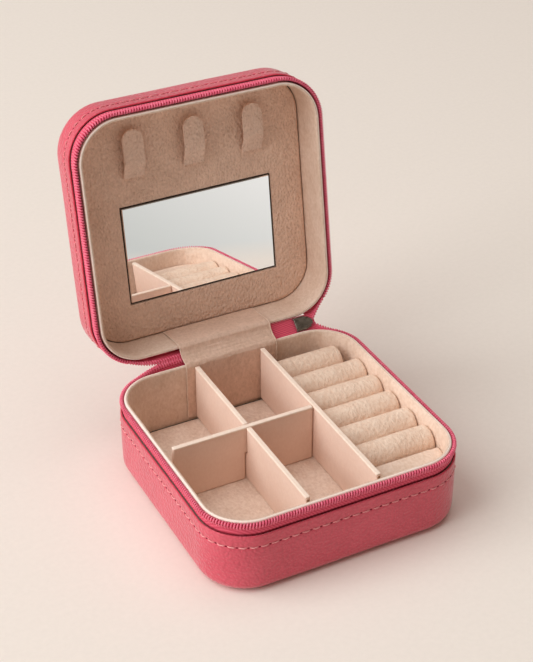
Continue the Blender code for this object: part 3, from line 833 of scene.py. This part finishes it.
def roll_mesh(start, end, y, seed):
    """A stuffed roll: round in section, drawn in at its sewn ends."""
    verts = []
    sides, rows = 40, 46
    length = end - start
    for r in range(rows + 1):
        t = r / rows
        x = start + length * t
        to_end = min(x - start, end - x)
        shrink = 1 - 0.055 * math.exp(-to_end / 0.35) - 0.02 * math.exp(-to_end / 2.6)
        for k in range(sides):
            a = TAU * k / sides
            radius = (ROLL_R - 0.10) * shrink
            point = Vector((x * 0.16, math.cos(a) * 1.2, math.sin(a) * 1.2 + seed))
            radius += 0.11 * noise.noise(point) + 0.05 * noise.noise(point * 3.1)
            radius += 0.07 * math.exp(-to_end / 1.1) * math.sin(a * 9 + seed * 5) * math.sin(a * 4 + seed)
            verts.append((x, y + math.cos(a) * radius * 0.995, ROLL_Z + math.sin(a) * radius))
    faces = skin(rows + 1, sides)
    for first, bulge in ((0, -0.15), (rows * sides, 0.15)):

        def outward(spot, share):
            return Vector((bulge * (1 - share), 0.0, 0.0))

        fill_inward(verts, faces, first, sides, (0.9, 0.72, 0.5, 0.25), outward)
    return verts, faces


def rolls():
    for n in range(ROLL_COUNT):
        end = ROLL_END if n else SHORT_ROLL_END
        verts, faces = roll_mesh(ROLLS_LEFT + 0.1, end - 0.1, FIRST_ROLL_Y - ROLL_PITCH * n, 1.7 * n)
        piece = build(f"roll_{n + 1}", verts, faces, ROLL, None, "cream_velvet")
        inflate(piece, 0.9, 0.16)
        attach(piece, "base")
        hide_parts(f"ring_roll_{n + 1}")


def section_plan(front, back):
    """The floor plan of the right-hand section between two y values."""
    inset, steps = 3.5, 48
    radius = CORNER_R - inset
    points = [(ROLLS_LEFT, front)]
    for i in range(steps + 1):
        y = front + (back - front) * i / steps
        past = abs(y) - STRAIGHT_D
        reach = radius if past <= 0 else math.sqrt(max(radius**2 - past**2, 0.0))
        points.append((STRAIGHT_W + reach, y))
    points.append((ROLLS_LEFT, back))
    kept = []
    for point in points:
        if not kept or (Vector(point) - Vector(kept[-1])).length > 0.15:
            kept.append(point)
    return kept


def cushion_block(name, plan, low, top, edge, crown):
    """A foam block under cloth: rounded upper edges and a slightly crowned top."""
    count = len(plan)
    middle = sum((Vector(p) for p in plan), Vector((0.0, 0.0))) / count
    verts = []
    rows = [(0.0, low), (0.0, top - edge)]
    for step in range(1, 5):
        a = math.radians(90 * step / 4)
        rows.append((edge * (1 - math.cos(a)), top - edge + edge * math.sin(a)))
    for inward, z in rows:
        for i in range(count):
            before, here, after = Vector(plan[i - 1]), Vector(plan[i]), Vector(plan[(i + 1) % count])
            along = (after - before).normalized()
            normal = Vector((along.y, -along.x))
            if normal.dot(here - middle) < 0:
                normal = -normal
            verts.append((*(here - normal * inward), z))
    faces = skin(len(rows), count)
    fill_inward(verts, faces, 0, count, even_shares(3))
    last = (len(rows) - 1) * count
    fill_inward(verts, faces, last, count, even_shares(10), uneven(0.06, 5.0, 1.0, crown))
    piece = build(name, verts, faces, CREAM, None, "cream_velvet")
    inflate(piece, 1.6, 0.2)
    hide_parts(f"ring_{name}")
    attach(piece, "base")


def roll_end_lining():
    """The lining where it slopes from the rim down to the rolls' right-hand ends."""
    front, back = (wall_mark(y) for y in (-44.0, 44.0))
    profile = [(3.15, 29.3), (3.42, 28.8), (3.72, 27.7), (3.95, 26.0)]
    profile += [(4.02, 22.0), (4.02, 15.0), (3.15, 15.0)]
    verts, faces = swept(profile, front, back)
    build("roll_end_lining", verts, faces, CREAM, "base", "cream_velvet")


def wall_mark(y):
    """How far along the outline the right-hand wall stands at a given y."""

    def gap(mark):
        spot = wall_point(mark, LINING_FACE)
        return abs(spot[1] - y) if spot[0] > STRAIGHT_W else 1000.0

    return min((ROUND / 2 + n / 4 for n in range(int(ROUND * 2))), key=gap)


def ring_section():
    rolls()
    roll_end_lining()
    ledge_back = FIRST_ROLL_Y - ROLL_PITCH * (ROLL_COUNT - 1) - ROLL_R - SIDE_PLAY
    cushion_block("roll_bed", section_plan(ledge_back + 0.4, 44.7), 6.3, 14.6, 0.6, 0.0)
    cushion_block("front_ledge", section_plan(-45.7, ledge_back), 6.3, 22.6, 1.0, 0.25)


# ---------------------------------------------------------------- hinge


def opened(y, z):
    spot = LID_OPEN @ Vector((0.0, y, z))
    return spot.y, spot.z


def smooth_path(points, spacing=0.35):
    """A Catmull-Rom curve through (y, z) points, at an even spacing."""
    dense = []
    for i in range(len(points) - 1):
        p0 = Vector(points[max(i - 1, 0)])
        p1, p2 = Vector(points[i]), Vector(points[i + 1])
        p3 = Vector(points[min(i + 2, len(points) - 1)])
        for k in range(24):
            t = k / 24
            dense.append(
                0.5 * (2 * p1 + (p2 - p0) * t + (2 * p0 - 5 * p1 + 4 * p2 - p3) * t * t
                       + (3 * p1 - 3 * p2 + p3 - p0) * t**3)
            )
    dense.append(Vector(points[-1]))
    even, run = [dense[0]], 0.0
    for before, after in zip(dense, dense[1:]):
        run += (after - before).length
        if run >= spacing:
            even.append(after)
            run = 0.0
    even.append(dense[-1])
    return even


def path_length(path):
    return sum((b - a).length for a, b in zip(path, path[1:]))


def band(name, path, x_low, x_high, thickness, look, slot, push=None):
    """A ribbon that follows a (y, z) path, X-wide, with rounded long edges."""
    rows, across = len(path), 44
    verts = []
    width = x_high - x_low
    ring = 2 * (across + 1)
    for i, spot in enumerate(path):
        along = (path[min(i + 1, rows - 1)] - path[max(i - 1, 0)]).normalized()
        side = Vector((-along.y, along.x))
        upper, lower = [], []
        for k in range(across + 1):
            u = k / across
            x = x_low + width * u
            thick = thickness / 2 * min(1.0, 0.25 + min(u, 1 - u) * width / 0.5)
            centre = spot + side * (push(x, i / (rows - 1)) if push else 0.0)
            upper.append((x, *(centre + side * thick)))
            lower.append((x, *(centre - side * thick)))
        verts += upper + lower[::-1]
    return build(name, verts, skin(rows, ring) + end_caps(rows, ring), look, None, slot)


def hinge():
    face = HALF_D - LINING_FACE - 0.55
    over = [(face, 28.8), (face + 0.25, 29.9), (face + 0.9, 30.75), (face + 1.9, 30.98)]
    lid_side = [(face + 1.9, -0.73), (face + 0.9, -0.5), (face + 0.25, 0.35), (face, 1.45), (face, 14.6)]
    points = [(face, 6.3), (face, 14.0), (face, 24.0)] + over + [(face + 3.5, 31.75), (face + 4.8, 32.8)]
    points += [opened(y, HINGE_Z + z) for y, z in lid_side]
    path = smooth_path(points, 0.2)
    length = path_length(path)
    rim_share = path_length(smooth_path(points[:7], 0.2)) / length
    folds = ((-1.6, 0.42, 0.14), (-0.3, 0.36, -0.16), (0.9, 0.40, 0.24), (2.1, 0.34, -0.20),
             (3.2, 0.38, 0.22), (4.5, 0.36, -0.18), (5.7, 0.44, 0.20), (7.3, 0.50, -0.12))

    def wrinkle(x, t):
        lift = 0.0
        for n, (centre, width, height) in enumerate(folds):
            drift = 1.3 * noise.noise(Vector((x / 13.0, n * 5.0, 0.0)))
            fade = max(0.0, 0.42 + 1.1 * noise.noise(Vector((x / 8.0, n * 3.0, 7.0))))
            here = (t - rim_share) * length - centre - drift
            lift += height * fade * math.exp(-((here / width) ** 2))
        return lift + 0.05 * noise.noise(Vector((x / 4.0, t * 30, 2.0)))

    strip = band("strip", path, STRIP_LOW, STRIP_HIGH, 0.5, STRIP, "divider_cloth", push=wrinkle)
    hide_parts("hinge_strip")
    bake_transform(strip)
    for side, x in (("left", STRIP_LOW), ("right", STRIP_HIGH)):
        hem_path = [Vector((x, p.x, p.y)) for p in path[::3]]
        hem = build(f"strip_hem_{side}", *tube(hem_path, 0.27, 8), CREAM, None, "divider_cloth")
        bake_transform(hem)
    outer = HALF_D - 0.4
    points = [(outer, 25.1), (outer + 0.15, 27.5), (outer + 0.85, 29.3), (outer + 2.15, 30.4)]
    points += [(outer + 4.0, 31.1), opened(outer, LID_LOW + 3.2), opened(outer, LID_LOW + 5.2)]
    spine_path = smooth_path(points, 0.4)
    spine = band("spine", spine_path, STRIP_LOW - 1.0, STRIP_HIGH - 0.3, 0.8, PINK_EDGE, "pink_leather")
    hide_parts("hinge_spine")
    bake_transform(spine)


# ---------------------------------------------------------------- zipper ends, slider and pull


def zip_point(along, out, across):
    return ZIP_OPEN @ Vector((along, CHAIN_Y + out, HINGE_Z + across))


def blend_end(piece):
    """Bakes an end piece's placement into its points."""
    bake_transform(piece)


def coil_end(half, side):
    """The last bit of one coil, leaving the rim for the chain or the slider."""
    s0, s1, x1 = END_RUNS[side]
    turn = half.rest.to_3x3()
    target = zip_point(x1, 0.0, -0.7 if half is BASE else 0.7)
    points, steps = [], 34
    for i in range(steps + 1):
        t = i / steps
        rim, normal = rim_spot(half, s0 + (s1 - s0) * t, COIL_INSET, COIL_DROP)
        on_rim = half.rest @ rim
        gone = min(1.0, t / 0.62)
        ease = gone * gone * (3 - 2 * gone) if side == "left" else t**2.6
        spot = on_rim.lerp(target, ease)
        spot.x = on_rim.x + (target.x - wall_point(s1, COIL_INSET)[0]) * t * t
        out = (turn @ normal).lerp(ZIP_OUT, ease).normalized()
        up = (turn @ Vector((0.0, 0.0, 1.0))).lerp(ZIP_UP, ease).normalized()
        points.append((spot, out, up))
    parts = (tube(coil_path(points), 0.30), tube([p[0] for p in points], 0.52))
    piece = build(f"{half.name}_coil_end_{side}", *joined(parts), COIL, None, "zipper_coil")
    blend_end(piece)
    tape_end(half, side, points)


def tape_end(half, side, points):
    """The tape between a coil's end and the cover's edge."""
    s0, s1, _ = END_RUNS[side]
    drop = 2.4 if side == "right" else 5.0
    reach = 0.7 if half is BASE and side == "right" else 1.0
    count, rows = len(points), 8
    verts = []
    for i, (spot, out, _) in enumerate(points):
        foot = half.rest @ rim_spot(half, s0 + (s1 - s0) * i / (count - 1), 1.5, drop)[0]
        for layer, order in ((0.0, range(rows + 1)), (-0.4, range(rows, -1, -1))):
            for r in order:
                t = r / rows
                bow = layer + 0.25 * math.sin(math.pi * t)
                verts.append(tuple((spot - out * 0.35).lerp(foot, t * reach) + out * bow))
    ring = 2 * (rows + 1)
    faces = skin(count, ring) + end_caps(count, ring)
    piece = build(f"{half.name}_tape_end_{side}", verts, faces, TAPE, None, "zipper_fabric")
    blend_end(piece)


def chain_end():
    """The closed bit of chain between the strip and the slider: tape with the meshed coil on it."""
    verts, faces = [], []
    rows, columns = 26, 12
    low, high = 20.7, 39.6
    for layer in (0.22, -0.22):
        for r in range(rows + 1):
            across = -3.3 + 6.6 * r / rows
            for c in range(columns + 1):
                along = low + (high - low) * c / columns
                lump = 0.06 * noise.noise(Vector((along / 5, across, 1.0)))
                lift = lump - 0.12 * (across / 3.3) ** 2
                verts.append(tuple(zip_point(along, layer + lift - 0.25, across)))
    per = columns + 1
    size = (rows + 1) * per
    for r in range(rows):
        for c in range(columns):
            a = r * per + c
            faces.append((a, a + 1, a + per + 1, a + per))
            faces.append((size + a, size + a + per, size + a + per + 1, size + a + 1))
    border = list(range(per)) + [r * per + columns for r in range(1, rows + 1)]
    border += [rows * per + c for c in range(columns - 1, -1, -1)]
    border += [r * per for r in range(rows - 1, 0, -1)]
    for i, a in enumerate(border):
        b = border[(i + 1) % len(border)]
        faces.append((a, size + a, size + b, b))
    tape = build("chain_tape", verts, faces, TAPE, "zipper_end", "zipper_fabric")
    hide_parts("zipper_closed_chain")
    parts = []
    for sign in (-1.0, 1.0):
        line = [(zip_point(20.9 + 10.1 * i / 19, 0.42, sign * 0.5), ZIP_OUT, ZIP_UP) for i in range(20)]
        centre = line[0][0]
        path = [p.lerp(Vector((p.x, centre.y, centre.z)), 0.28) for p in coil_path(line)]
        parts.append(tube(path, 0.26))
    build("chain_coil", *joined(parts), COIL, "zipper_end", "zipper_coil")


def slider_outline(shrink=0.0):
    points = [(-4.1 + shrink, -2.4 + shrink), (-4.1 + shrink, 2.4 - shrink), (0.2, 2.5 - shrink)]
    for i in range(9):
        a = math.radians(90 - 22.5 * i)
        points.append((1.9 + (1.7 - shrink) * math.cos(a), (1.6 - shrink) * math.sin(a)))
    points.append((0.2, -2.5 + shrink))
    return points


def slider_and_pull():
    def flat(u, v, level):
        return zip_point(SLIDER_X + u, level, v)

    def rail(u, v, level):
        return zip_point(SLIDER_X + u, v, level)

    parts = [
        prism(slider_outline(), flat, -1.75, -1.1),
        prism(slider_outline(), flat, 1.1, 1.75),
        prism([(3.3, 0.0), (2.6, 0.75), (1.6, 0.0), (2.6, -0.75)], flat, -1.4, 1.4),
    ]
    for sign in (-1, 1):
        flange = ((-4.25, 2.3), (-4.25, 2.72), (0.3, 2.75), (2.6, 1.9), (2.4, 1.55), (0.3, 2.3))
        flange = [(u, sign * v) for u, v in flange]
        parts += [prism(flange, flat, -1.5, -0.55), prism(flange, flat, 0.55, 1.5)]
    top = BAIL_OUT + 0.3
    bail = [(-2.4, 1.6), (-2.4, top - 0.5), (-2.0, top), (2.0, top), (2.4, top - 0.5), (2.4, 1.6)]
    bail += [(1.75, 1.6), (1.75, top - 0.75), (1.6, top - 0.6)]
    bail += [(-1.6, top - 0.6), (-1.75, top - 0.75), (-1.75, 1.6)]
    parts.append(prism(bail, rail, -0.42, 0.42))
    slider = build("slider", *joined(parts), GUNMETAL, "slider", "gunmetal")
    bevelled(slider, 0.26, 2, 30)
    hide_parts("zipper_slider")
    pivot = zip_point(SLIDER_X, BAIL_OUT, 0.0)
    centre = pivot - Vector((0.0, 0.0, 1.26))
    turns = [TAU * i / 40 for i in range(40)]
    loop = [centre + Vector((0.0, 2.3 * math.cos(a), 2.3 * math.sin(a))) for a in turns]
    ring = tube(loop, 0.42, 12, close=True)
    low = centre.z - 2.3 + 0.45
    outline = []
    for i in range(13):
        a = math.radians(180 + 15 * i)
        outline.append((2.7 * math.cos(a), low - 9.9 + 2.5 * math.sin(a)))
    outline += [(2.35, low - 3.2), (1.5, low - 0.5), (0.9, low)]
    outline += [(-0.9, low), (-1.5, low - 0.5), (-2.35, low - 3.2)]
    tongue = prism(outline, lambda u, v, level: (SLIDER_X + u, centre.y + level, v), -0.55, 0.55)
    pull = build("pull", *joined((ring, tongue)), GUNMETAL, "pull", "gunmetal")
    bevelled(pull, 0.2, 3, 50)
    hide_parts("zipper_pull")


# ---------------------------------------------------------------- inside of the lid


def mirror_box(grow, low, high):
    """A box round the mirror, grown sideways, between two depths in the lid."""
    across, along = MIRROR_W / 2 + grow, MIRROR_H / 2 + grow
    xs = (MIRROR_X - across, MIRROR_X + across)
    ends = [(x, v) for v in (MIRROR_V - along, MIRROR_V + along) for x in xs]
    corners = [(x, -v, LID_LOW + w) for w in (low, high) for x, v in ends]
    faces = [(0, 1, 3, 2), (4, 6, 7, 5), (0, 4, 5, 1), (2, 3, 7, 6), (0, 2, 6, 4), (1, 5, 7, 3)]
    return corners, faces


def lid_panel():
    """Suede over a thin pad, sunk round the mirror, with soft outer edges."""
    section = ((3.5, 17.8), (3.5, 15.9), (3.62, 15.35), (3.95, 15.05), (4.5, 14.98))
    verts, faces = loft([(inset, LID_LOW + w) for inset, w in section], caps=(True, False))
    top = (len(section) - 1) * len(MARKS)
    fill_inward(verts, faces, top, len(MARKS), even_shares(20), uneven(0.07, 9.0, 9.0))
    panel = build("panel", verts, faces, SUEDE, "lid", "panel_suede", LID_OPEN)
    box = mirror_box(0.28, 13.5, 16.7)
    tool = build("pocket_tool", *box, SUEDE, "lid", None, LID_OPEN, smooth=False)
    cut = panel.modifiers.new("Pocket", "BOOLEAN")
    cut.object = tool
    cut.operation = "DIFFERENCE"
    apply_modifiers(panel)
    bpy.data.objects.remove(tool)
    panel.data.shade_smooth()
    panel.data.set_sharp_from_angle(angle=math.radians(40))
    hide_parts("lid_panel")


def mirror():
    """Silvered glass on a dark backing, which also serves as painted shade in the gap round the glass,
    leaning a little as it is glued.
    """
    at = Matrix.Translation((0.0, -MIRROR_V, LID_LOW + 14.9))
    lean = LID_OPEN @ at @ Matrix.Rotation(math.radians(MIRROR_LEAN_DEG), 4, "X") @ at.inverted()
    glass_box = mirror_box(-0.26, 14.8, 15.7)
    glass = build("mirror_plate", *glass_box, MIRROR, "lid", "mirror_glass", lean, smooth=False)
    bevelled(glass, 0.34, 1, 40)
    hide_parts("mirror")
    # The backing shows in the gap round the glass as a dark line: real backing paint and painted shade in
    # the gap.
    back_box = mirror_box(0.0, 15.05, 16.3)
    backing = build("mirror_backing", *back_box, MIRROR_BACK_AND_GAP_SHADE, "lid", "mirror_glass", lean, smooth=False)
    bevelled(backing, 0.1, 1, 40)


def tab_mesh(x_mid):
    """A tab sewn down at its foot and standing off the panel, round at its tip, with a pressed edge line."""
    half, sides = TAB_W / 2, 32
    straight_top = TAB_TIP - half
    rows = [(TAB_FOOT + (straight_top - TAB_FOOT) * i / 33, half) for i in range(34)]
    for i in range(1, 15):
        a = math.radians(90 * i / 14.5)
        rows.append((straight_top + half * math.sin(a), half * math.cos(a)))
    verts = []
    for v, half_w in rows:
        rise = min((v - TAB_FOOT) / 7.0, 1.0)
        lift = TAB_LIFT * (rise * rise * (3 - 2 * rise))
        bow = 0.25 * math.sin(math.pi * min(1.0, (v - TAB_FOOT) / (TAB_TIP - TAB_FOOT)))
        middle = PANEL_DEPTH - 0.3 - lift - bow - TAB_THICK / 2
        for k in range(sides):
            cos, sin = math.cos(TAU * k / sides), math.sin(TAU * k / sides)
            u = math.copysign(abs(cos) ** 0.28, cos) * half_w
            d = math.copysign(abs(sin) ** 0.55, sin) * TAB_THICK / 2
            ridge = 0.07 * math.exp(-(((abs(u) / half - 0.82) / 0.06) ** 2)) if d < 0 else 0.0
            verts.append((x_mid + u, -v, LID_LOW + middle + d + ridge))
    return verts, skin(len(rows), sides) + end_caps(len(rows), sides)


def tabs():
    for number in (1, 2, 3):
        body = f"tab_{number}"
        shape = tab_mesh(MIRROR_X + TAB_PITCH * (number - 2))
        tab = build(body, *shape, TAB_SUEDE, body, "panel_suede", LID_OPEN)
        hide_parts(f"necklace_{body}")


# ---------------------------------------------------------------- carried-over CAD nodes


def carried_over():
    looks = {"base_board_shell": BOARD, "lid_board_shell": BOARD, "zipper_bottom_stop": GUNMETAL}
    looks.update({f"snap_stud_{n}": BRASS for n in (1, 2, 3)})
    for name, look in looks.items():
        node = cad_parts[name]
        node.data.materials.clear()
        node.data.materials.append(look)


# ---------------------------------------------------------------- stage


def camera():
    data = bpy.data.cameras.new("Camera")
    data.sensor_width = 36.0
    data.lens = 86.5
    data.clip_start, data.clip_end = 0.02, 20.0
    cam = bpy.data.objects.new("Camera", data)
    right = Vector((0.88963, -0.45667, -0.00241))
    up = Vector((0.25027, 0.48312, 0.83902))
    ahead = Vector((0.38199, 0.74703, -0.54409))
    rotation = Matrix((right, up, -ahead)).transposed()
    cam.rotation_mode = "QUATERNION"
    cam.rotation_quaternion = rotation.to_quaternion()
    cam.location = Vector((-217.55, -411.19, 368.76)) * MM
    bpy.context.scene.collection.objects.link(cam)
    bpy.context.scene.camera = cam


def area_light(name, place, aim, size, power, colour):
    data = bpy.data.lights.new(name, "AREA")
    data.shape = "RECTANGLE"
    data.size, data.size_y = size
    data.energy = power
    data.color = colour
    lamp = bpy.data.objects.new(name, data)
    lamp.location = Vector(place)
    lamp.rotation_mode = "QUATERNION"
    lamp.rotation_quaternion = (Vector(aim) - Vector(place)).to_track_quat("-Z", "Y")
    bpy.context.scene.collection.objects.link(lamp)


def studio():
    bpy.context.scene.view_settings.view_transform = "Standard"
    world = bpy.data.worlds.new("Studio")
    world.use_nodes = True
    background = world.node_tree.nodes["Background"]
    background.inputs["Color"].default_value = (1.0, 0.80, 0.66, 1.0)
    background.inputs["Strength"].default_value = 0.225
    bpy.context.scene.world = world
    area_light("Key", (-1.85, 0.3, 1.98), (0.0, 0.0, 0.03), (2.6, 2.6), 58.0, (0.96, 0.99, 1.0))
    area_light("Left", (-1.8, 0.1, 0.62), (0.0, 0.0, 0.05), (1.3, 0.9), 11.0, (0.97, 1.0, 1.0))
    area_light("Top", (0.25, 0.25, 2.4), (0.0, 0.0, 0.03), (1.8, 1.8), 13.5, (0.99, 1.0, 1.0))
    area_light("Front", (1.1, -1.5, 1.5), (0.0, 0.0, 0.05), (0.9, 0.9), 0.6, (1.0, 0.93, 0.88))
    look = Shader("floor_paper", srgb(230, 215, 202), 0.85, Specular_IOR_Level=0.1)
    grain = look.noise(500.0, 4.0)
    cream = look.ramp(grain, ((0.3, srgb(242, 233, 224)), (0.7, srgb(245, 236, 227))))
    # In front of the case the floor turns from grey to white toward +X: painted light, a glow for the mirror
    # to show.
    where = look.node("ShaderNodeSeparateXYZ")
    look.link(look.place, where.inputs["Vector"])
    stops = ((0.0, srgb(212, 216, 215)), (1.0, srgb(255, 255, 255)))
    painted_glow = look.ramp(look.spread(where.outputs["X"], 0.06, 0.19), stops)
    ahead = look.node("ShaderNodeMath", operation="MULTIPLY_ADD")
    look.link(where.outputs["Y"], ahead.inputs[0])
    ahead.inputs[1].default_value = -1.7
    look.link(where.outputs["X"], ahead.inputs[2])
    look.colour(look.mix(cream, painted_glow, look.spread(ahead.outputs["Value"], 0.25, 0.33)))
    look.bump(grain, 0.03, 0.05)
    mesh = bpy.data.meshes.new("floor")
    corners = [(x, y, -0.0002) for x, y in ((-6, -6), (6, -6), (6, 6), (-6, 6))]
    mesh.from_pydata(corners, [], [(0, 1, 2, 3)])
    mesh.materials.append(look.material)
    floor = bpy.data.objects.new("floor", mesh)
    bpy.context.scene.collection.objects.link(floor)


camera()
studio()
covers()
lining(BASE, 1.80, 0.72, 0.64)
lining(LID, 2.10, 0.62, 0.42)
zipper_sides()
floor_pad()
dividers()
ring_section()
hinge()
for which in (BASE, LID):
    for end_side in ("right", "left"):
        coil_end(which, end_side)
chain_end()
slider_and_pull()
lid_panel()
mirror()
tabs()
carried_over()
